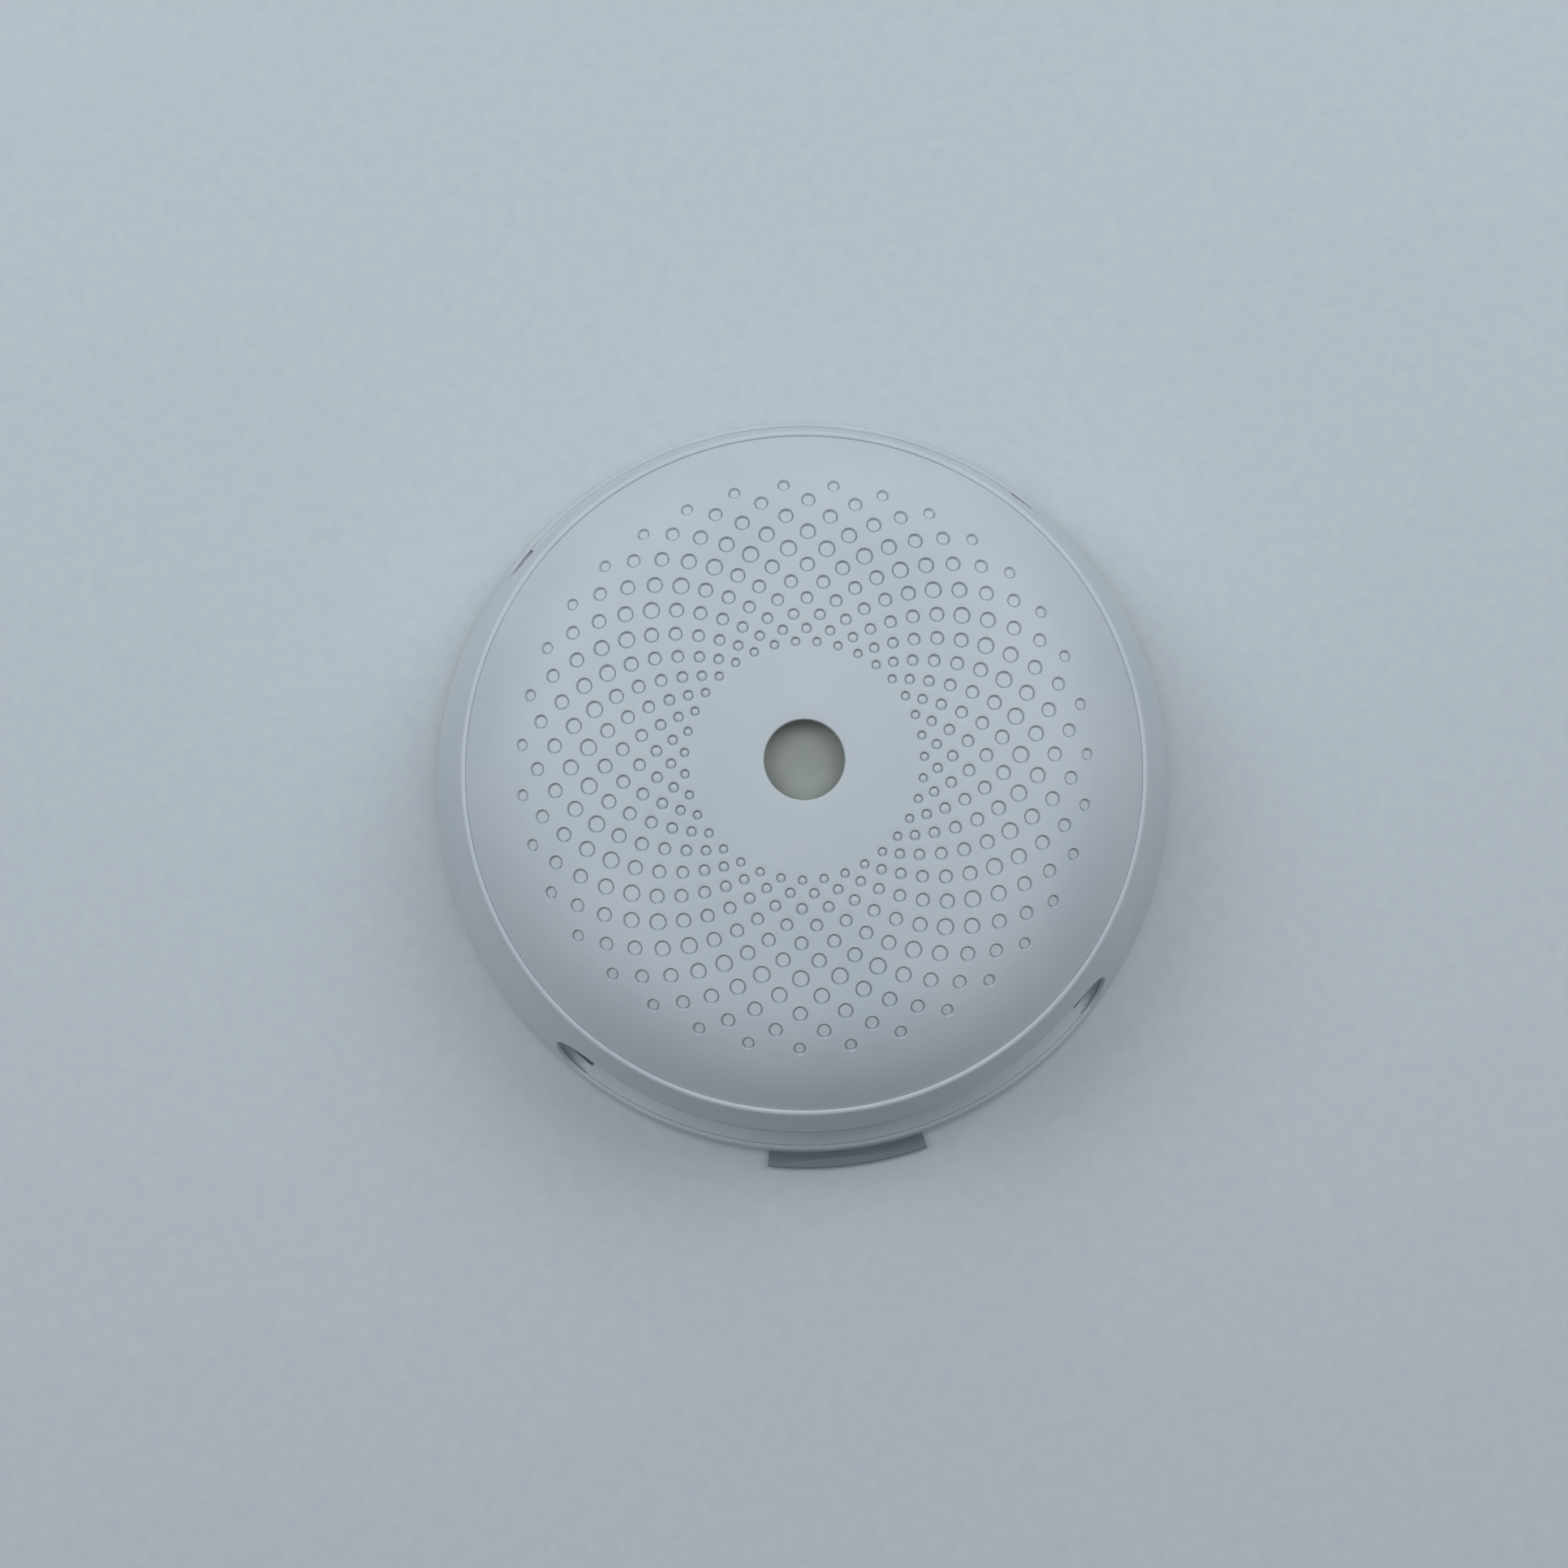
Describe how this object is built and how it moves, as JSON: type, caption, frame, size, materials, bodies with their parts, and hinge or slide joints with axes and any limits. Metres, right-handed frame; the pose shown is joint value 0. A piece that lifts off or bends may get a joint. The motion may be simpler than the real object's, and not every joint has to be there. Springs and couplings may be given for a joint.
{
  "type": "smoke detector",
  "caption": "Round domed battery smoke detector with a dimpled cover, a recessed test button, side inlet windows and a twist-off mounting bracket with a release tab.",
  "frame": {"origin": "centre of the mounting bracket's back face, midway between its screw slots", "axes": "+Z out of the mounting surface into the room, towards the dome; -Y towards the release tab and one inlet window; +X completes a right-handed frame"},
  "size_m": [0.1212, 0.1239, 0.0367],
  "materials": {
    "white_abs": "fine textured moulded white ABS",
    "grey_tab": "satin grey moulded polycarbonate",
    "button_plastic": "translucent grey-green moulded polycarbonate",
    "spring_steel": "bright drawn spring wire",
    "screw_steel": "zinc-plated steel",
    "board": "green solder-masked glass epoxy",
    "black_abs": "matt black moulded ABS",
    "gauze": "woven stainless gauze",
    "chip_resin": "black moulded epoxy",
    "can_aluminium": "drawn aluminium",
    "ceramic": "fired ceramic and tinned ends",
    "switch_plastic": "black moulded nylon",
    "lamp_clear": "water-clear epoxy",
    "lamp_dark": "dark infrared-pass epoxy",
    "lamp_red": "tinted diffused epoxy",
    "brass": "rolled brass with a ceramic layer",
    "battery_wrap": "shrink sleeve over a steel can",
    "nickel": "nickel-plated strip"
  },
  "bodies": {
    "bracket": {"mounting_bracket": "white_abs"},
    "release_tab": {"release_tab": "grey_tab", "release_springs": "spring_steel"},
    "detector": {"back_housing": "white_abs", "outer_housing": "white_abs", "front_cap": "white_abs", "inlet_ramps": "white_abs", "case_screws": "screw_steel", "circuit_board": "board", "board_screws": "screw_steel", "controller_chip": "chip_resin", "capacitors": "can_aluminium", "board_components": "ceramic", "tactile_switch": "switch_plastic", "button_guide": "black_abs", "status_led": "lamp_red", "button_spring": "spring_steel", "smoke_chamber_base": "black_abs", "smoke_chamber_cover": "black_abs", "insect_screen": "gauze", "infrared_led": "lamp_clear", "photodiode": "lamp_dark", "sounder_can": "black_abs", "piezo_disc": "brass", "sounder_springs": "spring_steel", "battery": "battery_wrap", "battery_contacts": "nickel", "battery_spring": "spring_steel"},
    "button": {"test_button": "button_plastic"}
  },
  "joints": [
    {"name": "twist", "type": "hinge", "parent": "bracket", "child": "detector", "pos_m": [0, 0, 0], "axis": [0, 0, 1], "range_deg": [0, 17]},
    {"name": "tab_push", "type": "slide", "parent": "bracket", "child": "release_tab", "axis": [0, 1, 0], "range_m": [0, 0.0015], "stiffness_N_per_m": 400, "springref_m": -0.003, "deforming": ["release_springs"]},
    {"name": "button_press", "type": "slide", "parent": "detector", "child": "button", "axis": [0, 0, -1], "range_m": [0, 0.0008], "stiffness_N_per_m": 800, "springref_m": -0.0015, "deforming": ["button_spring"]}
  ]
}
